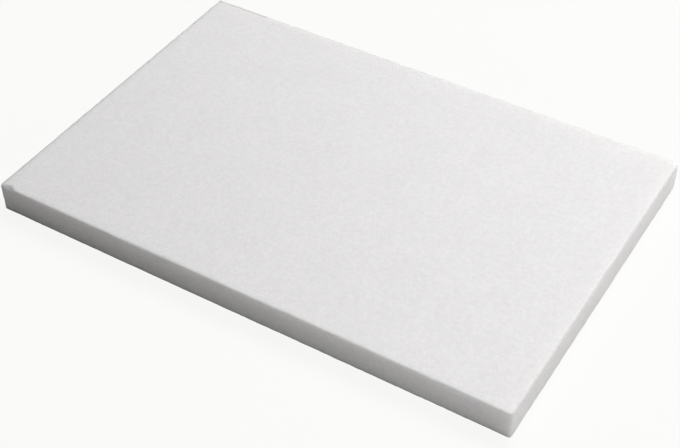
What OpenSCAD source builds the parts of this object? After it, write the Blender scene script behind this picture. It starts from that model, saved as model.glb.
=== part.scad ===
// Rigid sheet of expanded polystyrene bead foam, lying flat on its underside.
// Millimetres. X runs along the length with the left end at -X, Y runs along the
// width with the front edge at -Y, and Z points up. The origin is the centre of
// the underside. The sheet is one solid: a cut slab whose edges have softened in
// handling, with one crushed corner, one knocked corner and hollows where single
// beads have come out of the surface.

/* [Sheet] */
// Length of the sheet, left to right
sheet_length = 450; // [200:10:1250]
// Width of the sheet, front to back
sheet_width = 300; // [150:10:1250]
// Thickness of the sheet
sheet_thickness = 26; // [16:1:100]

/* [Softened edges] */
// Radius along the four edges of the top face
top_edge_radius = 1.8; // [0.5:0.1:4]
// Radius along the four edges of the underside
bottom_edge_radius = 1.2; // [0.4:0.1:3]
// Radius of the upright edge at the front left corner
front_left_radius = 1.4; // [0.5:0.1:8]
// Radius of the upright edge at the front right corner
front_right_radius = 1.6; // [0.5:0.1:8]
// Radius of the upright edge at the back left corner
back_left_radius = 1.2; // [0.5:0.1:8]
// Radius of the knocked upright edge at the back right corner
back_right_radius = 2; // [0.5:0.1:8]

/* [Crushed front left corner] */
// How far the crushed facet runs along the front edge
crush_along = 14; // [6:1:30]
// How far the crushed facet runs back across the top face
crush_back = 3; // [2:0.5:15]
// How far the crushed facet drops down the upright edge
crush_drop = 2; // [1:0.5:8]
// Distance of the dent in the front edge from the corner
crush_dent_place = 8; // [5:0.5:15]
// Width of that dent
crush_dent_width = 8; // [4:0.5:9]
// Depth of that dent, measured square to the softened edge
crush_dent_depth = 1.3; // [0.6:0.1:2]

/* [Knocked back right corner] */
// How far the knocked facet runs along the back edge
knock_along = 6; // [2:0.5:15]
// How far the knocked facet runs along the right edge
knock_back = 6; // [2:0.5:15]
// How far the knocked facet drops down the upright edge
knock_drop = 3.5; // [1:0.5:8]

/* [Lost beads] */
// Depth of a hollow as a share of its width
hollow_depth_share = 0.24; // [0.15:0.01:0.4]
// Width of a small hollow, about one bead across
small_hollow = 2.8; // [1.5:0.1:4]
// Width of a large hollow, where more than one bead has gone
large_hollow = 4.2; // [2:0.1:6]
// Width of a nick in the top front edge
edge_nick = 3.2; // [1:0.1:5]
// Height of the marks on the front face above the underside
front_mark_height = 17; // [6:0.5:60]

/* [Hidden] */
$fn = 48;

// Amount by which a cutter runs past the face it opens on
overrun = 1;

// Hollows in the top face: place along the length and along the width, each as a
// share of it from the front left corner.
small_marks = [
    [0.17, 0.71], [0.33, 0.64], [0.46, 0.74], [0.56, 0.72], [0.28, 0.29], [0.24, 0.31],
    [0.44, 0.16], [0.47, 0.17], [0.65, 0.31], [0.69, 0.19], [0.71, 0.30], [0.73, 0.42],
    [0.88, 0.26], [0.92, 0.67], [0.94, 0.16], [0.95, 0.23]
];
large_marks = [[0.20, 0.77], [0.76, 0.54], [0.79, 0.39], [0.87, 0.65]];

// Marks on the front face and nicks in the edge above it, as shares of the length
front_marks = [0.585, 0.60, 0.80];
edge_nicks = [0.30, 0.36, 0.61, 0.74, 0.755];

// Radius of the ball whose cap is w across and d deep
function cap_radius(w, d) = (w * w / 4 + d * d) / (2 * d);

// Waste outside a rounded corner of a flat outline: the corner is at the origin
// and the outline lies on the far side of it from the quarter that "turn" picks,
// counted from +X +Y in steps of 90 degrees.
module corner_waste(r, turn) {
    rotate(90 * turn)
        difference() {
            translate([-r, -r]) square(r + overrun);
            translate([-r, -r]) circle(r);
        }
}

// Outline of the sheet seen from above, with its own radius at each corner
module plan_outline() {
    x = sheet_length / 2;
    y = sheet_width / 2;
    difference() {
        square([sheet_length, sheet_width], center = true);
        translate([x, y]) corner_waste(back_right_radius, 0);
        translate([-x, y]) corner_waste(back_left_radius, 1);
        translate([-x, -y]) corner_waste(front_left_radius, 2);
        translate([x, -y]) corner_waste(front_right_radius, 3);
    }
}

// Upright section of the sheet, "across" wide, with softened top and bottom edges
module edge_outline(across) {
    x = across / 2;
    difference() {
        translate([-x, 0]) square([across, sheet_thickness]);
        translate([x, sheet_thickness]) corner_waste(top_edge_radius, 0);
        translate([-x, sheet_thickness]) corner_waste(top_edge_radius, 1);
        translate([-x, 0]) corner_waste(bottom_edge_radius, 2);
        translate([x, 0]) corner_waste(bottom_edge_radius, 3);
    }
}

// The cut slab with every edge softened: the body common to its three outlines
module softened_slab() {
    intersection() {
        linear_extrude(sheet_thickness) plan_outline();
        rotate([90, 0, 0])
            linear_extrude(sheet_width + 2 * overrun, center = true)
                edge_outline(sheet_length);
        rotate([90, 0, 90])
            linear_extrude(sheet_length + 2 * overrun, center = true)
                edge_outline(sheet_width);
    }
}

// Waste above a slanting facet that takes off a top corner. The corner is at the
// origin and the sheet lies towards +X, +Y and -Z.
module facet_waste(along, back, drop) {
    normal = [-1 / along, -1 / back, 1 / drop];
    size = norm(normal);
    reach = 2 * max(along, back, drop) + overrun;
    // The middle of the facet is the mean of its three corner points
    translate([along / 3, back / 3, -drop / 3])
        rotate([0, acos(normal[2] / size), atan2(normal[1], normal[0])])
            translate([-reach, -reach, 0]) cube([2 * reach, 2 * reach, reach]);
}

// Cap-shaped hollow in a face that lies at z = 0 and looks towards +Z
module hollow(w, d) {
    r = cap_radius(w, d);
    translate([0, 0, r - d]) sphere(r);
}

module top_hollows(marks, w) {
    for (m = marks)
        translate([
            (m[0] - 0.5) * sheet_length,
            (m[1] - 0.5) * sheet_width,
            sheet_thickness
        ]) hollow(w, hollow_depth_share * w);
}

// Marks in the front face, kept between its softened edges
module front_hollows() {
    height = min(front_mark_height, sheet_thickness - top_edge_radius - small_hollow);
    for (share = front_marks)
        translate([(share - 0.5) * sheet_length, -sheet_width / 2, height])
            rotate([90, 0, 0]) hollow(small_hollow, hollow_depth_share * small_hollow);
}

// Cap-shaped hollow that opens on the slope of the softened edge above the front
// face. Its ball is turned to put the poles along the edge.
module edge_hollow(place, w, d) {
    inset = top_edge_radius * (1 - sqrt(0.5));
    r = cap_radius(w, d);
    translate([place, -sheet_width / 2 + inset, sheet_thickness - inset])
        rotate([45, 0, 0]) translate([0, 0, r - d]) rotate([0, 90, 0]) sphere(r);
}

module front_edge_nicks() {
    for (share = edge_nicks)
        edge_hollow((share - 0.5) * sheet_length, edge_nick, hollow_depth_share * edge_nick);
}

module crushed_corner() {
    translate([-sheet_length / 2, -sheet_width / 2, sheet_thickness])
        facet_waste(crush_along, crush_back, crush_drop);
    edge_hollow(crush_dent_place - sheet_length / 2, crush_dent_width, crush_dent_depth);
}

module knocked_corner() {
    translate([sheet_length / 2, sheet_width / 2, sheet_thickness])
        rotate([0, 0, 180]) facet_waste(knock_along, knock_back, knock_drop);
}

module foam_sheet() {
    color("whitesmoke")
        difference() {
            softened_slab();
            crushed_corner();
            knocked_corner();
            top_hollows(small_marks, small_hollow);
            top_hollows(large_marks, large_hollow);
            front_hollows();
            front_edge_nicks();
        }
}

foam_sheet();
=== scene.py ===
"""A rigid sheet of white bead foam, cut to size, with worn edges and corners.

The sheet's skin is one closed mesh. Bead centres are scattered over the six faces and
along the twelve rims, and each bead becomes a fan of triangles that reaches half way to
its neighbours. The whole skin then settles on the worn form of the sheet, with every
bead a little above the seams around it. Lengths are in millimetres until the mesh is
written in metres. Arrays of places have a row for each place, and flat coordinates are
those in the plane of a face.
"""

import logging
import math
from collections.abc import Iterable
from dataclasses import dataclass, field
from enum import Enum
from itertools import combinations, product

import bpy
import numpy as np
from mathutils import Matrix, Vector
from mathutils.geometry import delaunay_2d_cdt


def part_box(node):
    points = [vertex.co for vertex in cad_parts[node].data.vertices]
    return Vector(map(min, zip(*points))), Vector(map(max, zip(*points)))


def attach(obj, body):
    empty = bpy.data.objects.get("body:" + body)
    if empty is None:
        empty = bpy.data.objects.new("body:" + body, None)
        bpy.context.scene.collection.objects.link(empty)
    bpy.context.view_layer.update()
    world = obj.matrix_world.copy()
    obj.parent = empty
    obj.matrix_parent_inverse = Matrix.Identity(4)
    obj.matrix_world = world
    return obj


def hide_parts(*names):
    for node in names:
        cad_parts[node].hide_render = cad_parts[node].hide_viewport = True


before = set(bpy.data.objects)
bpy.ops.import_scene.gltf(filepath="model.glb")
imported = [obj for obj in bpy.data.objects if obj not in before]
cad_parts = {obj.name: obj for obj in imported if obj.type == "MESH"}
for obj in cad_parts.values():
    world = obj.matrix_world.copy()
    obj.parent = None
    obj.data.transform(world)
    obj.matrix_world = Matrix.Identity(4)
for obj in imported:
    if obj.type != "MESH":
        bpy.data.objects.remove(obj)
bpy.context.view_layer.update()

MM = 0.001  # one millimetre in metres
NODE = "foam_sheet"
BODY = "root"
SLOT = "bead_foam"

ON_FACE = 1e-6  # how near a place is to the face that it lies on
SAME_PLACE = 1e-7  # how near two places are that count as one

Colour = tuple[float, float, float]
Span = tuple[float, float]
Array = np.ndarray
Node = bpy.types.Node
Socket = bpy.types.NodeSocket

log = logging.getLogger("bead_foam_sheet")


def put_in_scene(name: str, data: bpy.types.ID) -> bpy.types.Object:
    """Makes an object of some data and links it to the scene."""
    made = bpy.data.objects.new(name, data)
    bpy.context.collection.objects.link(made)
    return made


def direction(azimuth: float, elevation: float) -> Vector:
    """Direction that is so many degrees to the right of the front and above the floor."""
    a, e = math.radians(azimuth), math.radians(elevation)
    return Vector((math.sin(a) * math.cos(e), -math.cos(a) * math.cos(e), math.sin(e)))


# ---- The worn form of the sheet ----


class Corner(Enum):
    """The four upright corners, as the signs of X and Y."""

    FRONT_LEFT = (-1, -1)
    FRONT_RIGHT = (1, -1)
    BACK_LEFT = (-1, 1)
    BACK_RIGHT = (1, 1)


@dataclass(frozen=True)
class SheetSize:
    """Overall size of the sheet in millimetres.

    Args:
        length: Size along X.
        width: Size along Y.
        thickness: Size along Z.
    """

    length: float
    width: float
    thickness: float

    @classmethod
    def of_node(cls, node: str) -> "SheetSize":
        """Reads the size from the box of the frame's own solid."""
        low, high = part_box(node)
        return cls(*(round((high[i] - low[i]) / MM, 4) for i in range(3)))


@dataclass(frozen=True)
class Facet:
    """A slanting flat that takes off a top corner.

    Args:
        corner: The upright corner that it sits on.
        along: How far it runs along the sheet's length.
        back: How far it runs along the sheet's width.
        drop: How far it runs down the upright edge.
        blend: Radius that softens its rim.
    """

    corner: Corner
    along: float
    back: float
    drop: float
    blend: float

    def distance(self, points: Array, size: SheetSize) -> Array:
        """Signed distance to the facet's plane, positive on the side that is gone.

        Args:
            points: The places.
            size: Size of the sheet.

        Returns:
            One for each place.
        """
        sx, sy = self.corner.value
        tip = np.array([sx * size.length / 2, sy * size.width / 2, size.thickness])
        normal = np.array([sx / self.along, sy / self.back, 1 / self.drop])
        reach = 1 / np.linalg.norm(normal)
        return (points - tip) @ (normal * reach) + reach


@dataclass(frozen=True)
class Scoop:
    """A round dent that flattens the top front edge.

    Args:
        along: Distance of its middle from the left end.
        radius: Radius of its curve.
        depth: How far it cuts in from the edge.
        blend: Radius of its rim.
    """

    along: float
    radius: float
    depth: float
    blend: float

    def distance(self, points: Array, size: SheetSize) -> Array:
        """Signed distance to all that the dent leaves.

        Args:
            points: The places.
            size: Size of the sheet.

        Returns:
            One for each place, negative where it stays.
        """
        out = (self.radius - self.depth) * math.sqrt(0.5)
        x, y = self.along - size.length / 2, -size.width / 2 - out
        middle = np.array([x, y, size.thickness + out])
        return self.radius - np.linalg.norm(points - middle, axis=1)


@dataclass(frozen=True)
class Ripple:
    """Slow unevenness of a cut face, as a sum of a few waves.

    Args:
        seed: Seed of the waves.
        shortest: Shortest wavelength.
        longest: Longest wavelength.
        height: Usual height of the sum.
        waves: Number of waves.
    """

    seed: int
    shortest: float
    longest: float
    height: float
    waves: int = 9

    def at(self, points: Array) -> Array:
        """Height of the ripple.

        Args:
            points: The places.

        Returns:
            One height for each place.
        """
        rng = np.random.default_rng(self.seed)
        directions = rng.normal(size=(self.waves, 3))
        directions /= np.linalg.norm(directions, axis=1, keepdims=True)
        lengths = np.geomspace(self.shortest, self.longest, self.waves)
        phases = rng.uniform(0, 2 * math.pi, self.waves)
        turns = points @ (directions / lengths[:, None]).T * 2 * math.pi + phases
        return np.sin(turns).sum(axis=1) * self.height * math.sqrt(2 / self.waves)


def soft_meet(a: Array, b: Array, radius: float | Array) -> Array:
    """Signed distance to what two solids share, with an edge of that radius."""
    inside = np.minimum(-radius, np.maximum(a, b))
    return inside + np.hypot(np.maximum(a + radius, 0), np.maximum(b + radius, 0))


@dataclass(frozen=True)
class WornForm:
    """The sheet's outer form: a slab with softened edges and two damaged corners.

    Args:
        size: Size of the sheet.
        top_radii: Radii of the top edge at the front, the right, the back and the left.
        rim_reach: Distance from a rim at which its radius begins to give way.
        bottom_radius: Radius along the edges of the underside.
        corner_radii: Plan radius of each upright corner, in the order of Corner.
        scoop: Dent in the top front edge beside the crushed corner.
        facets: Flats that take off the damaged corners.
        skin: How far the whole form lies inside the overall size.
        edge_ripple: Unevenness of the cut edges.
        face_ripple: Unevenness of the top face.
    """

    size: SheetSize
    top_radii: tuple[float, ...] = (1.2, 1.6, 0.45, 0.6)
    rim_reach: float = 3.0
    bottom_radius: float = 1.0
    corner_radii: tuple[float, ...] = (0.8, 2.6, 1.2, 1.6)
    facets: tuple[Facet, ...] = (
        Facet(Corner.FRONT_LEFT, along=15, back=2.2, drop=1.2, blend=0.4),
        Facet(Corner.BACK_RIGHT, along=3.5, back=4, drop=1.6, blend=1.6),
    )
    scoop: Scoop = Scoop(along=7.0, radius=10.0, depth=2.5, blend=0.5)
    skin: float = 0.03
    edge_ripple: Ripple = Ripple(seed=11, shortest=16, longest=120, height=0.05)
    face_ripple: Ripple = Ripple(seed=12, shortest=30, longest=220, height=0.04)

    def rim_radius(self, points: Array) -> Array:
        """Radius of the top edge near each place.

        Args:
            points: The places.

        Returns:
            One radius for each place.
        """
        x, y = points[:, 0], points[:, 1]
        half_x, half_y = self.size.length / 2, self.size.width / 2
        inward = np.stack([half_y + y, half_x - x, half_y - y, half_x + x])
        pull = 1 / (np.maximum(inward, 0) + self.rim_reach) ** 4
        return (np.array(self.top_radii)[:, None] * pull).sum(axis=0) / pull.sum(axis=0)

    def plan_distance(self, points: Array) -> Array:
        """Signed distance to the sheet's outline seen from above.

        Args:
            points: The places.

        Returns:
            One for each place, negative inside.
        """
        x, y = points[:, 0], points[:, 1]
        radius = np.zeros(len(points))
        for (sx, sy), r in zip((corner.value for corner in Corner), self.corner_radii):
            radius[(x * sx >= 0) & (y * sy >= 0)] = r
        qx = np.abs(x) - self.size.length / 2 + radius
        qy = np.abs(y) - self.size.width / 2 + radius
        outside = np.hypot(np.maximum(qx, 0), np.maximum(qy, 0))
        return np.minimum(np.maximum(qx, qy), 0) + outside - radius

    def distance(self, points: Array) -> Array:
        """Signed distance to the worn form.

        Args:
            points: The places.

        Returns:
            One for each place, negative inside.
        """
        z = points[:, 2]
        side = self.plan_distance(points) + self.skin
        side += np.maximum(self.edge_ripple.at(points) + self.edge_ripple.height, 0)
        top = z - self.size.thickness + self.skin
        top += np.maximum(self.face_ripple.at(points) + self.face_ripple.height, 0)
        form = soft_meet(side, top, self.rim_radius(points))
        form = soft_meet(form, self.skin / 2 - z, self.bottom_radius)
        for cut in (*self.facets, self.scoop):
            form = soft_meet(form, cut.distance(points, self.size), cut.blend)
        return form

    def outward(self, points: Array) -> Array:
        """Directions that point straight out of the form.

        Args:
            points: The places.

        Returns:
            The unit directions.
        """
        step = 0.02
        slope = np.empty_like(points)
        for axis, shift in enumerate(step * np.eye(3)):
            slope[:, axis] = self.distance(points + shift) - self.distance(points - shift)
        return slope / np.linalg.norm(slope, axis=1, keepdims=True)

    def settle(self, points: Array, rounds: int = 4) -> Array:
        """Moves places onto the surface of the form.

        Args:
            points: Places near the surface.
            rounds: Number of steps towards the surface.

        Returns:
            The moved places.
        """
        settled = points.copy()
        for _ in range(rounds):
            settled -= self.outward(settled) * self.distance(settled)[:, None]
        return settled


# ---- Beads ----


class Face(Enum):
    """The six cut faces."""

    TOP = "top"
    UNDERSIDE = "underside"
    FRONT = "front"
    BACK = "back"
    LEFT = "left"
    RIGHT = "right"


@dataclass(frozen=True)
class Mark:
    """A small hollow, where a bead has come out or has been pressed in.

    Args:
        x: Place along the length, from the middle of the sheet.
        y: Place along the width, from the middle of the sheet.
        z: Height above the underside.
        depth: Depth of the hollow.
        radius: Distance from its middle to its rim.
    """

    x: float
    y: float
    z: float
    depth: float
    radius: float

    @property
    def place(self) -> Array:
        """The middle of the hollow."""
        return np.array([self.x, self.y, self.z])

    def press(self, points: Array, middle: Array) -> Array:
        """Depth that the hollow takes off at places around its settled middle."""
        reach = np.linalg.norm(points - middle, axis=1) / self.radius
        return self.depth * np.maximum(1 - reach**2, 0) ** 1.5


@dataclass(frozen=True)
class FacePlane:
    """A cut face laid out flat.

    Args:
        face: The face.
        origin: Its lower left corner, seen from outside.
        across: Unit direction to its right.
        up: Unit direction up it.
        width: Size across.
        height: Size up.
    """

    face: Face
    origin: Array
    across: Array
    up: Array
    width: float
    height: float

    @classmethod
    def of(cls, face: Face, size: SheetSize) -> "FacePlane":
        """Lays out one face of a sheet.

        Args:
            face: The face.
            size: Size of the sheet.

        Returns:
            The face's plane.
        """
        x, y, z = np.eye(3)
        half = np.array([size.length / 2, size.width / 2, 0])
        length, width, thick = size.length, size.width, size.thickness
        planes = {
            Face.TOP: (-half + thick * z, x, y, length, width),
            Face.UNDERSIDE: (half * (1, -1, 0), -x, y, length, width),
            Face.FRONT: (-half, x, z, length, thick),
            Face.BACK: (half, -x, z, length, thick),
            Face.LEFT: (half * (-1, 1, 0), -y, z, width, thick),
            Face.RIGHT: (half * (1, -1, 0), y, z, width, thick),
        }
        return cls(face, *planes[face])

    def lift(self, flat: Array) -> Array:
        """Places of flat coordinates on the face."""
        return self.origin + flat[:, :1] * self.across + flat[:, 1:] * self.up

    def flatten(self, points: Array) -> Array:
        """Flat coordinates of places on the face."""
        offset = points - self.origin
        return np.stack([offset @ self.across, offset @ self.up], axis=1)

    def holds(self, points: Array) -> Array:
        """Says which places lie on the face."""
        return np.abs((points - self.origin) @ np.cross(self.across, self.up)) < ON_FACE


@dataclass
class BeadSkin:
    """The skin of the sheet as fans of triangles, one fan for each bead.

    Args:
        points: Places of all vertices, bead centres first.
        traits: Three values for each vertex: 1 at a bead's centre and 0 on the seams
        around it, the height above the worn form, and how open the gap is there,
        which also carries the painted shade near the top edge.
        triangles: Vertex numbers of each triangle, its bead's centre first.
        homes: Number of the cut face and number of the bead of each triangle.
        beads: Number of beads.
    """

    points: Array
    traits: Array
    triangles: Array
    homes: Array
    beads: int

    def add_points(self, points: Array, traits: Array) -> Array:
        """Adds vertices.

        Args:
            points: Their places.
            traits: Their traits.

        Returns:
            Their numbers.
        """
        numbers = len(self.points) + np.arange(len(points))
        self.points = np.vstack([self.points, points])
        self.traits = np.vstack([self.traits, traits])
        return numbers

    def add_triangles(self, corners: tuple[Array, ...], homes: Array) -> None:
        """Adds triangles, given their first, second and third corners."""
        self.triangles = np.vstack([self.triangles, np.stack(corners, axis=1)])
        self.homes = np.vstack([self.homes, homes])

    def add_rings(self, chosen: Array) -> None:
        """Gives some beads a ring of vertices half way out to their seams.

        Args:
            chosen: Numbers of the beads.
        """
        split = np.isin(self.homes[:, 1], chosen)
        centre, start, end = self.triangles[split].T
        spokes = np.stack([np.tile(centre, 2), np.concatenate([start, end])], axis=1)
        ends, where = np.unique(spokes, axis=0, return_inverse=True)
        rise, level = self.traits[ends, 0], self.traits[ends, 1]
        # The ring lies nearer the centre's height than the seam's, to keep a bead round
        middle = [rise.mean(axis=1), level @ (0.75, 0.25), np.zeros(len(ends))]
        added = self.add_points(self.points[ends].mean(axis=1), np.stack(middle, axis=1))
        near, far = added[where.ravel()].reshape(2, len(centre))
        homes = self.homes[split]
        self.triangles, self.homes = self.triangles[~split], self.homes[~split]
        for part in ((centre, near, far), (near, start, end), (near, end, far)):
            self.add_triangles(part, homes)

    def inset_rims(
        self, number: int, plane: FacePlane, inset: float, clear: float
    ) -> None:
        """Gives a face its own row of vertices just inside its rims.

        Args:
            number: Number of the face.
            plane: The face laid out flat.
            inset: Distance of the row from the rims.
            clear: Least distance of all other vertices from the rims.
        """
        here = np.flatnonzero(self.homes[:, 0] == number)
        used = np.unique(self.triangles[here])
        flat = plane.flatten(self.points[used])
        full = np.array([plane.width, plane.height])
        low, high = flat < ON_FACE, flat > full - ON_FACE
        rim = (low | high).any(axis=1)
        self.points[used[~rim]] = plane.lift(np.clip(flat[~rim], clear, full - clear))
        old = used[rim]
        moved = flat[rim] + inset * (low[rim].astype(float) - high[rim])
        new = self.add_points(plane.lift(moved), self.traits[old])
        swap = np.arange(len(self.points))
        swap[old] = new
        outer, homes = self.triangles[here], self.homes[here]
        inner = swap[outer]
        self.triangles[here] = inner
        for i, j in ((0, 1), (1, 2), (2, 0)):
            edge = (outer[:, i] != inner[:, i]) & (outer[:, j] != inner[:, j])
            a, b = outer[edge, i], outer[edge, j]
            c, d = inner[edge, j], inner[edge, i]
            self.add_triangles((a, b, c), homes[edge])
            self.add_triangles((a, c, d), homes[edge])


@dataclass
class BeadPacking:
    """Packs beads over the faces and rims of a sharp-edged slab.

    Args:
        size: Size of the sheet.
        marks: Places that a bead's centre has to lie on.
        spacing: Usual distance between bead centres.
        jitter: Scatter of the centres, as a share of the spacing.
        rim_jitter: The same along a rim.
        margin: Least distance of a face's own centres from its rims, as such a share.
        mark_margin: Least distance from the rims of a mark that a bead moves to.
        least_share: Least pull of each of its three centres on a seam point.
        seed: Seed of the scatter.
    """

    size: SheetSize
    marks: tuple[Mark, ...]
    spacing: float = 3.45
    jitter: float = 0.30
    rim_jitter: float = 0.2
    margin: float = 0.62
    mark_margin: float = 2.0
    least_share: float = 0.14
    seed: int = 406
    planes: list[FacePlane] = field(init=False)
    rng: np.random.Generator = field(init=False)

    def __post_init__(self) -> None:
        """Lays out the faces and starts the random numbers."""
        self.planes = [FacePlane.of(face, self.size) for face in Face]
        self.rng = np.random.default_rng(self.seed)

    def rim_centres(self) -> Array:
        """Bead centres at the eight corners and along the twelve rims.

        Returns:
            The centres.
        """
        x, y, z = self.size.length / 2, self.size.width / 2, self.size.thickness
        corners = [np.array(spot) for spot in product((-x, x), (-y, y), (0.0, z))]
        spots = list(corners)
        for a, b in combinations(corners, 2):
            if np.count_nonzero(a != b) == 1:
                count = round(np.linalg.norm(b - a) / self.spacing)
                steps = np.arange(1, count, dtype=float)
                steps += self.rng.uniform(-self.rim_jitter, self.rim_jitter, count - 1)
                spots += [a + (b - a) * step / count for step in steps]
        return np.array(spots)

    def scatter(self, plane: FacePlane) -> Array:
        """Scatters bead centres over the inside of a face.

        Args:
            plane: The face.

        Returns:
            Their flat coordinates.
        """
        margin = self.margin * self.spacing
        row = self.spacing * 0.866  # rows of a triangular packing
        rows = max(round((plane.height - 2 * margin) / row), 1)
        columns = round((plane.width - 2 * margin) / self.spacing)
        up, across = np.mgrid[0 : rows + 1, 0 : columns + 1].astype(float)
        across += 0.5 * (up % 2) - 0.25  # every second row is half a bead along
        flat = np.stack([across.ravel() / columns, up.ravel() / rows], axis=1)
        room = np.array([plane.width, plane.height]) - 2 * margin
        spots = margin + flat * room
        spots += self.rng.uniform(-1, 1, spots.shape) * self.jitter * self.spacing
        return np.clip(spots, margin, margin + room)

    @staticmethod
    def triangulate(flat: Array) -> Array:
        """Joins flat places into triangles.

        Args:
            flat: Flat coordinates.

        Returns:
            Vertex numbers of the triangles, turning anticlockwise.
        """
        found = delaunay_2d_cdt([Vector(p) for p in flat], [], [], 0, SAME_PLACE)
        if len(found[0]) != len(flat):
            raise ValueError("two bead centres fell on one place")
        origin = np.array([o[0] for o in found[3]])
        corners = origin[np.array(found[2])]
        a, b, c = (flat[corners[:, i]] for i in range(3))
        turn = (b - a)[:, 0] * (c - a)[:, 1] - (b - a)[:, 1] * (c - a)[:, 0]
        corners[turn < 0] = corners[turn < 0][:, ::-1]
        return corners

    def even_out(self, flat: Array, fixed: int) -> Array:
        """Moves each centre to the middle of its neighbours.

        Args:
            flat: Flat coordinates, the ones that stay first.
            fixed: Number of centres that stay.

        Returns:
            The moved coordinates.
        """
        corners = self.triangulate(flat)
        total, count = np.zeros_like(flat), np.zeros(len(flat))
        for i in range(3):
            for j in ((i + 1) % 3, (i + 2) % 3):
                np.add.at(total, corners[:, i], flat[corners[:, j]])
                np.add.at(count, corners[:, i], 1)
        moved = total / count[:, None]
        moved[:fixed] = flat[:fixed]
        return moved

    def place_marks(self, plane: FacePlane, flat: Array, fixed: int) -> None:
        """Moves the nearest centre onto each mark of the face.

        Args:
            plane: The face.
            flat: Flat coordinates, changed in place.
            fixed: Number of centres that stay.
        """
        taken: set[int] = set()
        places = np.array([mark.place for mark in self.marks])
        spots = plane.flatten(places[plane.holds(places)])
        far = np.array([plane.width, plane.height]) - self.mark_margin
        inside = ((spots > self.mark_margin) & (spots < far)).all(axis=1)
        for spot in spots[inside]:
            order = np.argsort(np.linalg.norm(flat[fixed:] - spot, axis=1)) + fixed
            nearest = next(int(i) for i in order if int(i) not in taken)
            flat[nearest] = spot
            taken.add(nearest)

    def seam_points(self, flat: Array, corners: Array) -> Array:
        """The point of each triangle where its three beads meet.

        It is as far from all three centres, unless that would leave the triangle.

        Args:
            flat: Flat coordinates of the centres.
            corners: Vertex numbers of the triangles.

        Returns:
            Flat coordinates of the points.
        """
        a, b, c = (flat[corners[:, i]] for i in range(3))
        u, v, w = (np.sum((p - q) ** 2, axis=1) for p, q in ((b, c), (c, a), (a, b)))
        pull = np.stack([u * (v + w - u), v * (w + u - v), w * (u + v - w)], axis=1)
        pull = np.maximum(pull / pull.sum(axis=1, keepdims=True), self.least_share)
        pull /= pull.sum(axis=1, keepdims=True)
        return pull[:, :1] * a + pull[:, 1:2] * b + pull[:, 2:] * c

    def pack(self) -> BeadSkin:
        """Packs the beads and cuts the slab's skin between them.

        Returns:
            The closed skin on the sharp-edged slab.
        """
        rims = self.rim_centres()
        centres, seams = [rims], []
        corners, faces = [], []
        total = len(rims)
        for number, plane in enumerate(self.planes):
            on_rim = np.flatnonzero(plane.holds(rims))
            edge = plane.flatten(rims[on_rim])
            flat = np.vstack([edge, self.scatter(plane)])
            flat = self.even_out(flat, len(edge))
            self.place_marks(plane, flat, len(edge))
            local = self.triangulate(flat)
            inner = len(flat) - len(edge)
            numbers = np.concatenate([on_rim, total + np.arange(inner)])
            centres.append(plane.lift(flat[len(edge) :]))
            seams.append(plane.lift(self.seam_points(flat, local)))
            corners.append(numbers[local])
            faces.append(np.full(len(local), number))
            total += inner
        return self.cut_fans(
            np.vstack(centres), np.vstack(seams), np.vstack(corners), np.concatenate(faces)
        )

    @staticmethod
    def cut_fans(centres: Array, seams: Array, corners: Array, faces: Array) -> BeadSkin:
        """Cuts the triangles between centres into one fan around each centre.

        Args:
            centres: Bead centres.
            seams: The point inside each triangle where its beads meet.
            corners: Centre numbers of the triangles.
            faces: The face that each triangle lies on.

        Returns:
            The skin.
        """
        beads, count = len(centres), len(corners)
        start = corners.ravel()
        end = np.roll(corners, -1, axis=1).ravel()
        owner = np.repeat(np.arange(count), 3)
        key = np.minimum(start, end) * beads + np.maximum(start, end)
        order = np.lexsort((start > end, key))
        if not (key[order][::2] == key[order][1::2]).all():
            raise ValueError("the skin isn't closed")
        ahead, behind = order[::2], order[1::2]
        a, b = start[ahead], end[ahead]
        left, right = owner[ahead], owner[behind]
        rim = faces[left] != faces[right]
        inner = ~rim
        seam = beads + np.arange(count)
        middle = np.zeros(len(a), int)
        middle[rim] = beads + count + np.arange(rim.sum())
        points = np.vstack([centres, seams, (centres[a[rim]] + centres[b[rim]]) / 2])
        sides = ((a, left, right), (b, right, left))
        fans = [(bead, seam[far], seam[near], inner, near) for bead, near, far in sides]
        for bead, near, far in sides:
            fans.append((bead, seam[far], middle, rim, far))
            fans.append((bead, middle, seam[near], rim, near))
        triangles = np.vstack([np.stack([p, q, r], axis=1)[m] for p, q, r, m, _ in fans])
        on_face = np.concatenate([faces[side[m]] for _, _, _, m, side in fans])
        traits = np.zeros((len(points), 3))
        traits[:beads, 0] = 1
        homes = np.stack([on_face, triangles[:, 0]], axis=1)
        return BeadSkin(points, traits, triangles, homes, beads)


# ---- Finish ----


NOISE_SPAN = (0.3, 0.7)  # where nearly all values of a noise lie
MIX_SLOTS = (0, 6, 7)  # a colour mix's share, first colour and second colour
MIX_RESULT = 2


class Channel(Enum):
    """Values that the skin carries for its finish."""

    RISE = "bead_rise"  # 1 at a bead's centre, 0 at the seams around it
    # Painted shade: this channel darkens the gaps between beads and parts of the top edge
    GAP = "bead_gap"  # 1 where three beads leave a gap between them
    TONE = "bead_tone"  # one random value for each bead


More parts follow.
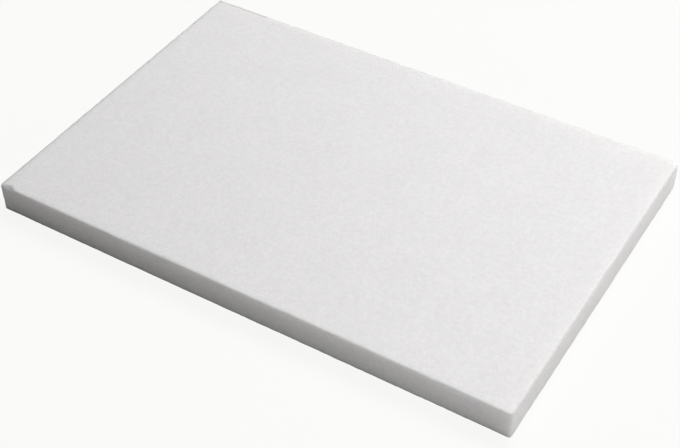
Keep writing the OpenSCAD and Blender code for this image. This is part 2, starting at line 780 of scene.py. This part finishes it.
@dataclass
class NodeBench:
    """Adds and joins the nodes of one node tree.

    Args:
        tree: The tree.
    """

    tree: bpy.types.NodeTree

    def add(self, kind: str, **values: object) -> Node:
        """Adds a node and sets its properties and inputs.

        Args:
            kind: Blender's name for the node type.
            **values: Properties, or inputs by name with spaces as underscores.

        Returns:
            The node.
        """
        node = self.tree.nodes.new(kind)
        for name, value in values.items():
            if hasattr(node, name):
                setattr(node, name, value)
            else:
                node.inputs[name.replace("_", " ")].default_value = value
        return node

    def join(self, source: Socket | float | tuple, target: Socket) -> None:
        """Joins an output to an input, or sets the input to a value."""
        if isinstance(source, Socket):
            self.tree.links.new(source, target)
        else:
            target.default_value = source

    def carried(self, channel: Channel) -> Socket:
        """Reads a value that the mesh carries."""
        return self.add("ShaderNodeAttribute", attribute_name=channel.value).outputs["Fac"]

    def noise(self, scale: float, detail: float, roughness: float) -> Socket:
        """Adds a noise fixed to the object.

        Args:
            scale: Cells in each metre.
            detail: Number of finer layers.
            roughness: How strong each finer layer is.

        Returns:
            The noise's socket.
        """
        values = {"Scale": scale, "Detail": detail, "Roughness": roughness}
        node = self.add("ShaderNodeTexNoise", **values)
        place = self.add("ShaderNodeTexCoord").outputs["Object"]
        self.join(place, node.inputs["Vector"])
        return node.outputs["Fac"]

    def math(self, kind: str, *values: Socket | float) -> Socket:
        """Carries one arithmetic step through all values.

        Args:
            kind: Blender's name for the step.
            *values: Sockets or numbers, two or more.

        Returns:
            The result's socket.
        """
        total = values[0]
        for value in values[1:]:
            node = self.add("ShaderNodeMath", operation=kind)
            self.join(total, node.inputs[0])
            self.join(value, node.inputs[1])
            total = node.outputs[0]
        return total

    def spread(
        self, source: Socket, taken: Span, given: Span, kind: str = "SMOOTHSTEP"
    ) -> Socket:
        """Maps one range of values to another, held at both ends.

        Args:
            source: The value.
            taken: Range that is read.
            given: Range that it becomes.
            kind: Blender's name for the way between the ends.

        Returns:
            The result's socket.
        """
        node = self.add("ShaderNodeMapRange", interpolation_type=kind)
        self.join(source, node.inputs["Value"])
        names = ("From Min", "From Max", "To Min", "To Max")
        for name, value in zip(names, (*taken, *given)):
            node.inputs[name].default_value = value
        return node.outputs["Result"]

    def mix(self, share: Socket | float, first: Node, second: Node) -> Node:
        """Mixes two shaders.

        Args:
            share: Share of the second.
            first: Node of the first.
            second: Node of the second.

        Returns:
            The node that mixes them.
        """
        node = self.add("ShaderNodeMixShader")
        for source, slot in zip((share, first.outputs[0], second.outputs[0]), node.inputs):
            self.join(source, slot)
        return node


@dataclass(frozen=True)
class BeadFoam:
    """White bead foam: matt, slightly see-through, with a fine cell structure.

    Args:
        colour: Linear colour of clean beads.
        shade: Linear colour of the painted shade at the bottom of the gaps between
        beads and on parts of the top edge.
        roughness: Roughness of the bead skins.
        gloss: Level of their reflection.
        depth: How far light travels inside the foam, in metres.
        dome: Height of a bead above its seams, in millimetres.
        gap_depth: Depth of the gaps, in millimetres.
        grain: Height of the cells, in millimetres.
        tone: Difference between the lightest and darkest beads, as a share.
        gap_span: Values of the gaps' channel at a closed and at an open gap.
        cloud: Scale, detail and roughness of the wide, faint clouds.
        speck: The same of the specks.
        cells: The same of the cells.
        least_cloud: Brightness of the darkest clouds.
        least_speck: Brightness of the darkest specks.
        least_seam: Brightness of the painted shade in the seams.
        seam_width: Share of the way to a bead's centre that its seam takes.
    """

    colour: Colour = (0.886, 0.872, 0.874)
    shade: Colour = (0.62, 0.605, 0.60)
    roughness: float = 0.62
    gloss: float = 0.3
    depth: float = 0.0075
    dome: float = 0.07
    gap_depth: float = 0.03
    grain: float = 0.03
    tone: float = 0.02
    gap_span: Span = (0.1, 1.0)
    cloud: tuple[float, float, float] = (34.0, 3.0, 0.6)
    speck: tuple[float, float, float] = (300.0, 1.0, 0.4)
    cells: tuple[float, float, float] = (400.0, 3.0, 0.45)
    least_cloud: float = 0.985
    least_speck: float = 0.955
    least_seam: float = 0.985
    seam_width: float = 0.22

    def material(self) -> bpy.types.Material:
        """Makes the material.

        Returns:
            The material.
        """
        made = bpy.data.materials.new(SLOT)
        made.use_nodes = True
        bench = NodeBench(made.node_tree)
        shader = made.node_tree.nodes["Principled BSDF"]
        surface = {
            "IOR": 1.45,
            "Roughness": self.roughness,
            "Specular IOR Level": self.gloss,
            "Subsurface Weight": 1.0,
            "Subsurface Radius": (1.0, 1.0, 0.95),
            "Subsurface Scale": self.depth,
        }
        for name, value in surface.items():
            shader.inputs[name].default_value = value
        # Share of painted shade in the gaps and on parts of the top edge
        gap = bench.spread(bench.carried(Channel.GAP), self.gap_span, (0.0, 1.0))
        bench.join(self.colours(bench, gap), shader.inputs["Base Color"])
        bench.join(self.relief(bench, gap), shader.inputs["Normal"])
        return made

    def colours(self, bench: NodeBench, gap: Socket) -> Socket:
        """Colour of the beads, with painted shade in seams, gaps and parts of the top
        edge.

        Args:
            bench: Where the nodes go.
            gap: 1 in the gaps between beads, and up to 1 on parts of the top edge;
            both get painted shade.

        Returns:
            The colour's socket.
        """
        cloud, speck = bench.noise(*self.cloud), bench.noise(*self.speck)
        tone, rise = bench.carried(Channel.TONE), bench.carried(Channel.RISE)
        share = bench.math(
            "MULTIPLY",
            bench.spread(tone, (0, 1), (1 - self.tone, 1.0), "LINEAR"),
            bench.spread(cloud, NOISE_SPAN, (self.least_cloud, 1.0)),
            # Painted shade: darker in the seams between beads
            bench.spread(rise, (0.0, self.seam_width), (self.least_seam, 1.0)),
            bench.spread(speck, NOISE_SPAN, (self.least_speck, 1.0), "LINEAR"),
        )
        colour = (*self.colour, 1)
        # Painted shade: the first step mixes towards the shade colour in gaps and on the
        # top edge
        steps = (("MIX", gap, (*self.shade, 1)), ("MULTIPLY", 1.0, share))
        for kind, part, other in steps:
            node = bench.add("ShaderNodeMix", data_type="RGBA", blend_type=kind)
            for value, slot in zip((part, colour, other), MIX_SLOTS):
                bench.join(value, node.inputs[slot])
            colour = node.outputs[MIX_RESULT]
        return colour

    def relief(self, bench: NodeBench, gap: Socket) -> Socket:
        """Surface direction with the beads' roundness, the gaps and the fine cells.

        Args:
            bench: Where the nodes go.
            gap: 1 in the gaps between beads, and up to 1 on parts of the top edge
            where shade is painted.

        Returns:
            The direction's socket.
        """
        fall = bench.math("SUBTRACT", 1.0, bench.carried(Channel.RISE))
        dome = bench.math("MULTIPLY", fall, fall, -self.dome)
        hole = bench.math("MULTIPLY", gap, -self.gap_depth)
        grain = bench.math("MULTIPLY", bench.noise(*self.cells), self.grain)
        bump = bench.add("ShaderNodeBump", Strength=1.0, Distance=MM)
        bench.join(bench.math("ADD", dome, hole, grain), bump.inputs["Height"])
        return bump.outputs["Normal"]


# ---- The sheet ----


@dataclass(frozen=True)
class Relief:
    """Small differences of height over the skin, in millimetres.

    Args:
        bead_scatter: How far the lowest beads lie below the highest.
        seam_depth: Usual depth of the seams below the beads beside them.
        rim_wear: How far the most rubbed beads of a rim lie below the least rubbed.
        rim_inset: Distance from a rim to the row of vertices just inside it.
        rim_clear: Least distance from a rim to all other vertices.
        gap_share: Share of the meeting points of three beads that leave a gap.
        gap_depth: Depth of a gap that is fully open.
        gap_size: How open the widest of these gaps is.
        painted_rim_shade: Strength of the painted shade on the top edge, and how far from
            it that
            begins to fade: at the left end of the back, along all of the back and at
            the right.
        painted_shade_end_length: Length of that left end.
        seed: Seed of the differences.
    """

    bead_scatter: float = 0.06
    seam_depth: float = 0.04
    rim_wear: float = 0.2
    rim_inset: float = 0.8
    rim_clear: float = 1.44
    gap_share: float = 0.35
    gap_depth: float = 0.03
    gap_size: float = 0.34
    painted_rim_shade: tuple[Span, ...] = ((1.0, 1.8), (0.5, 1.1), (0.6, 0.9))
    painted_shade_end_length: float = 53.0
    seed: int = 77


@dataclass
class FoamSheet:
    """The whole sheet as one closed mesh.

    Args:
        size: Overall size.
        form: Worn outer form.
        marks: Hollows and nicks.
        packing: How the beads are packed.
        relief: Heights of beads and seams.
        finish: Finish of the foam.
    """

    size: SheetSize
    form: WornForm
    marks: tuple[Mark, ...]
    packing: BeadPacking
    relief: Relief = Relief()
    finish: BeadFoam = BeadFoam()

    def build(self) -> bpy.types.Object:
        """Builds and dresses the sheet.

        Returns:
            The sheet's object, riding on its body.
        """
        skin = self.packing.pack()
        self.lay_relief(skin)
        skin.add_rings(self.beads_near_marks(skin))
        for number, plane in enumerate(self.packing.planes):
            skin.inset_rims(number, plane, self.relief.rim_inset, self.relief.rim_clear)
        settled = self.form.settle(skin.points)
        rise, levels, gaps = skin.traits.T.copy()
        for mark in self.marks:
            middle = self.form.settle(mark.place[None])[0]
            levels -= mark.press(settled, middle)
        points = settled + self.form.outward(settled) * levels[:, None]
        mesh = self.make_mesh(skin, points)
        rng = np.random.default_rng(self.relief.seed + 1)
        tones = rng.random(skin.beads)[skin.homes[:, 1]]
        # The gaps' channel also carries the painted shade near the top edge
        carried = {Channel.RISE: rise, Channel.GAP: gaps, Channel.TONE: tones}
        for channel, values in carried.items():
            domain = "FACE" if channel is Channel.TONE else "POINT"
            layer = mesh.attributes.new(channel.value, "FLOAT", domain)
            layer.data.foreach_set("value", values.astype(np.float32))
        mesh.materials.append(self.finish.material())

        piece = put_in_scene("bead_skin", mesh)
        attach(piece, BODY)
        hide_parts(NODE)
        return piece

    def lay_relief(self, skin: BeadSkin) -> None:
        """Sets the heights of the beads and seams, the gaps where beads meet, and the
        painted shade on the top edge.

        Args:
            skin: The skin, before anything is added to it.
        """
        relief, rng = self.relief, np.random.default_rng(self.relief.seed)
        count, beads = len(skin.points), skin.beads
        sides = sum(plane.holds(skin.points).astype(int) for plane in self.packing.planes)
        levels = np.zeros(count)
        levels[:beads] = -relief.bead_scatter * rng.random(beads)
        wear = relief.rim_wear * rng.random(beads) ** 2
        levels[:beads] -= np.where(sides[:beads] > 1, wear, 0)
        total, shares = np.zeros(count), np.zeros(count)
        for i in (1, 2):
            np.add.at(total, skin.triangles[:, i], levels[skin.triangles[:, 0]])
            np.add.at(shares, skin.triangles[:, i], 1)
        seams = np.arange(count) >= beads
        levels[seams] = total[seams] / shares[seams]
        levels[seams] -= relief.seam_depth * rng.uniform(0.5, 1.5, seams.sum())
        gaps = np.zeros(count)
        is_open = seams & (sides == 1) & (rng.random(count) < relief.gap_share)
        gaps[is_open] = relief.gap_size * rng.uniform(0.3, 1.0, is_open.sum()) ** 1.5
        # Painted shade near the top edge at the back and right, carried with the gaps
        gaps = np.maximum(gaps, self.rim_painted_shade(skin.points))
        skin.traits[:, 1] = levels - relief.gap_depth * gaps
        skin.traits[:, 2] = gaps

    def rim_painted_shade(self, points: Array) -> Array:
        """Share of painted shade near the top edge, at the back and at the right.

        Args:
            points: The places.

        Returns:
            One share for each place, 0 where no shade is painted.
        """
        x, y, z = points.T
        half_x, half_y = self.size.length / 2, self.size.width / 2
        first = np.where(x < self.relief.painted_shade_end_length - half_x, half_y - y, np.inf)
        inward = np.stack([first, half_y - y, half_x - x])
        drop = self.size.thickness - z
        shares, reach = np.array(self.relief.painted_rim_shade).T[:, :, None]
        faded = np.clip(2.0 - np.hypot(inward, drop) / reach, 0.0, 1.0)
        return (shares * faded).max(axis=0)

    def beads_near_marks(self, skin: BeadSkin) -> Array:
        """Finds the beads that a mark reaches.

        Args:
            skin: The skin.

        Returns:
            Their numbers.
        """
        centres = skin.points[: skin.beads]
        near = np.zeros(skin.beads, bool)
        for mark in self.marks:
            reach = mark.radius + 0.6 * self.packing.spacing  # a bead's corner
            near |= np.linalg.norm(centres - mark.place, axis=1) < reach
        return np.flatnonzero(near)

    def make_mesh(self, skin: BeadSkin, points: Array) -> bpy.types.Mesh:
        """Writes the mesh in metres, with its map for baking.

        Args:
            skin: The skin.
            points: Final places of its vertices, in millimetres.

        Returns:
            The mesh.
        """
        mesh = bpy.data.meshes.new("bead_skin")
        mesh.from_pydata((points * MM).tolist(), [], skin.triangles.tolist())
        mesh.polygons.foreach_set("use_smooth", np.ones(len(skin.triangles), bool))
        mesh.normals_split_custom_set_from_vertices(self.facing(points, skin.triangles))
        layer = mesh.uv_layers.new(name="OFBake")
        layer.uv.foreach_set("vector", self.flat_map(skin).astype(np.float32).ravel())
        mesh.update()
        return mesh

    @staticmethod
    def facing(points: Array, triangles: Array) -> Array:
        """Surface direction at each vertex, in which large triangles count for more.

        Args:
            points: Places of the vertices.
            triangles: Vertex numbers of the triangles.

        Returns:
            The unit directions.
        """
        a, b, c = (points[triangles[:, i]] for i in range(3))
        square = np.cross(b - a, c - a)
        total = np.zeros_like(points)
        for i in range(3):
            np.add.at(total, triangles[:, i], square)
        return total / np.linalg.norm(total, axis=1, keepdims=True)

    def flat_map(self, skin: BeadSkin) -> Array:
        """Lays the two large faces and, upright beside them, the narrow ones on a square.

        Args:
            skin: The skin, still on the sharp-edged slab.

        Returns:
            Two coordinates for each corner of each triangle.
        """
        gap, size = 2.0, self.size
        square = 2 * size.width + 3 * gap
        column = size.length + 2 * gap
        laid = np.zeros((len(skin.triangles), 3, 2))
        for number, plane in enumerate(self.packing.planes):
            here = skin.homes[:, 0] == number
            flat = plane.flatten(skin.points[skin.triangles[here]].reshape(-1, 3))
            if plane.face in (Face.TOP, Face.UNDERSIDE):
                corner = (gap, gap + number * (size.width + gap))
            else:
                flat = np.stack([plane.height - flat[:, 1], flat[:, 0]], axis=1)
                corner = (column + (number - 2) * (size.thickness + gap), gap)
            laid[here] = ((flat + corner) / square).reshape(-1, 3, 2)
        return laid.reshape(-1, 2)


# ---- Studio ----


@dataclass(frozen=True)
class SoftLamp:
    """A round soft lamp.

    Args:
        name: Name of the lamp.
        azimuth: Degrees from the front towards the right that it shines from.
        elevation: Degrees above the floor.
        distance: Metres from the middle of the sheet.
        width: Diameter in metres.
        power: Power in watts.
    """

    name: str
    azimuth: float
    elevation: float
    distance: float
    width: float
    power: float

    def hang(self) -> None:
        """Hangs the lamp."""
        away = direction(self.azimuth, self.elevation)
        light = bpy.data.lights.new(self.name, "AREA")
        light.shape = "DISK"
        light.size = self.width
        light.energy = self.power
        lamp = put_in_scene(self.name, light)
        lamp.location = away * self.distance
        lamp.rotation_euler = away.to_track_quat("Z", "Y").to_euler()
        lamp.visible_camera = False


@dataclass(frozen=True)
class Viewpoint:
    """Where the camera stands and how it looks.

    Args:
        place: Its place in metres.
        azimuth: Degrees from the front towards the right that it looks from.
        elevation: Degrees above the floor.
        roll: Degrees about its own axis.
        lens: Focal length in millimetres.
        sensor: Width of the sensor in millimetres.
        shift: Sideways and upward shift, as shares of the picture's width.
    """

    place: tuple[float, float, float] = (0.4394, -0.7029, 0.7505)
    azimuth: float = 30.6595
    elevation: float = 42.6457
    roll: float = 0.1771
    lens: float = 73.2277
    sensor: float = 36.0
    shift: tuple[float, float] = (-0.04031, -0.02132)

    def set_camera(self) -> None:
        """Makes the scene's camera."""
        back = direction(self.azimuth, self.elevation)
        right = direction(self.azimuth + 90, 0)
        level = Matrix((right, back.cross(right), back)).transposed()
        data = bpy.data.cameras.new("viewpoint")
        data.sensor_width = self.sensor
        data.lens = self.lens
        data.shift_x, data.shift_y = self.shift
        data.clip_start, data.clip_end = 0.02, 40  # metres
        camera = put_in_scene("viewpoint", data)
        spin = Matrix.Rotation(math.radians(self.roll), 4, "Z")
        camera.matrix_world = Matrix.Translation(self.place) @ level.to_4x4() @ spin
        bpy.context.scene.camera = camera


@dataclass(frozen=True)
class PaleFloor:
    """A plain pale floor that runs on into a pale backdrop.

    Args:
        shown: Colour that the camera sees, linear.
        bounce: Colour of the light that it throws back on the sheet, linear.
        shadow: Share of the sheet's shadow that stays on it.
        reach: Half its width, in metres.
    """

    shown: Colour = (0.973, 0.973, 0.956)
    bounce: Colour = (0.6, 0.6, 0.585)
    shadow: float = 0.08
    reach: float = 6.0

    def seen(self, bench: NodeBench) -> Socket:
        """Adds a value that is 1 where the floor is looked at, 0 where it only lights.

        Args:
            bench: Where the nodes go.

        Returns:
            The value's socket.
        """
        path = bench.add("ShaderNodeLightPath").outputs
        kinds = ("Is Glossy Ray", "Is Transmission Ray", "Is Camera Ray")
        return bench.math("MAXIMUM", *(path[kind] for kind in kinds))

    def lay(self) -> None:
        """Lays the floor."""
        r = self.reach
        mesh = bpy.data.meshes.new("pale_floor")
        corners = [(-r, -r, 0), (r, -r, 0), (r, r, 0), (-r, r, 0)]
        mesh.from_pydata(corners, [], [(0, 1, 2, 3)])
        made = bpy.data.materials.new("pale_floor")
        made.use_nodes = True
        made.node_tree.nodes.clear()
        bench = NodeBench(made.node_tree)
        glow = bench.add("ShaderNodeEmission", Color=(*self.shown, 1))
        matt = bench.add("ShaderNodeBsdfDiffuse", Color=(*self.shown, 1))
        thrown = bench.add("ShaderNodeBsdfDiffuse", Color=(*self.bounce, 1))
        whole = bench.mix(self.seen(bench), thrown, bench.mix(self.shadow, glow, matt))
        bench.join(whole.outputs[0], bench.add("ShaderNodeOutputMaterial").inputs[0])
        mesh.materials.append(made)
        floor = put_in_scene("pale_floor", mesh)

    def light_world(self) -> None:
        """Sets the backdrop beyond the floor, which gives no light of its own."""
        world = bpy.data.worlds.new("pale_room")
        world.use_nodes = True
        world.node_tree.nodes.clear()
        bench = NodeBench(world.node_tree)
        backdrop = bench.add("ShaderNodeBackground", Color=(*self.shown, 1))
        bench.join(self.seen(bench), backdrop.inputs["Strength"])
        bench.join(backdrop.outputs[0], bench.add("ShaderNodeOutputWorld").inputs[0])
        bpy.context.scene.world = world


@dataclass(frozen=True)
class Studio:
    """The floor, the lamps and the camera.

    Args:
        floor: The floor and backdrop.
        lamps: The lamps.
        viewpoint: The camera's place.
    """

    floor: PaleFloor = PaleFloor()
    lamps: tuple[SoftLamp, ...] = (
        SoftLamp("high_back", 165, 60, distance=2.4, width=1.4, power=51),
        SoftLamp("high_right", 100, 60, distance=1.4, width=0.9, power=1.3),
        SoftLamp("overhead", -20, 75, distance=1.8, width=1.2, power=1.4),
        SoftLamp("low_right", 112, 9, distance=1.0, width=0.28, power=1.7),
        SoftLamp("low_front", 40, 20, distance=0.9, width=0.4, power=1.3),
    )
    viewpoint: Viewpoint = Viewpoint()

    def set_up(self) -> None:
        """Sets up the whole studio."""
        self.viewpoint.set_camera()
        self.floor.lay()
        self.floor.light_world()
        for lamp in self.lamps:
            lamp.hang()
        bpy.context.scene.view_settings.view_transform = "Standard"


# ---- Marks of use ----

# Depth and radius of each kind of hollow, in millimetres
SMALL, MIDDLE, LARGE = (0.22, 1.9), (0.32, 2.1), (0.5, 2.9)
PRESSED, NICK, DENT = (0.3, 1.9), (0.5, 1.9), (0.4, 2.0)

# Places on the top face
TOP_MARKS: tuple[tuple[float, float, Span], ...] = (
    (-135.6, 82.1, MIDDLE), (-148.1, 62.0, SMALL), (-83.9, 96.4, SMALL),
    (-77.5, 42.4, SMALL), (-16.8, 71.1, SMALL), (28.0, 66.1, SMALL), (-97.1, -63.8, SMALL),
    (-117.5, -56.1, SMALL), (115.2, 13.2, MIDDLE), (132.1, -32.9, LARGE),
    (164.6, 46.0, MIDDLE), (190.9, 51.9, SMALL), (-28.1, -101.2, SMALL),
    (-18.8, -100.7, SMALL), (65.4, -57.9, SMALL), (85.9, -92.0, SMALL),
    (94.1, -60.5, SMALL), (105.1, -24.0, SMALL), (169.4, -71.2, SMALL),
    (182.2, -76.0, SMALL), (190.7, -82.0, SMALL), (204.7, -80.3, SMALL),
    (196.9, -102.4, SMALL),
)
# Places on the front face, along the sheet and above the underside
FRONT_MARKS: tuple[Span, ...] = ((39.0, 16.7), (43.3, 16.1), (136.3, 17.2))
# Places along the top front edge
FRONT_NICKS = (-88.3, -65.4, 45.8, 107.9, 113.6)
# Place of the dent behind the crushed corner, from the left and from the front
CORNER_DENT = (8.5, 3.0)


def marks_of_use(size: SheetSize) -> tuple[Mark, ...]:
    """Gathers the hollows, the nicks and the dent behind the crushed corner.

    Args:
        size: Size of the sheet.

    Returns:
        All marks.
    """
    left, front, top = -size.length / 2, -size.width / 2, size.thickness
    marks = [Mark(x, y, top, *kind) for x, y, kind in TOP_MARKS]
    marks += [Mark(x, front, z, *PRESSED) for x, z in FRONT_MARKS]
    marks += [Mark(x, front, top, *NICK) for x in FRONT_NICKS]
    marks.append(Mark(left + CORNER_DENT[0], front + CORNER_DENT[1], top, *DENT))
    return tuple(marks)


# ---- Making everything ----


def main() -> None:
    """Builds the sheet and its studio."""
    logging.basicConfig(level=logging.INFO, format="%(name)s: %(message)s")
    size = SheetSize.of_node(NODE)
    marks = marks_of_use(size)
    sheet = FoamSheet(size, WornForm(size), marks, BeadPacking(size, marks))
    piece = sheet.build()
    log.info("%s: %d triangles", piece.name, len(piece.data.polygons))
    Studio().set_up()


if __name__ == "__main__":
    main()
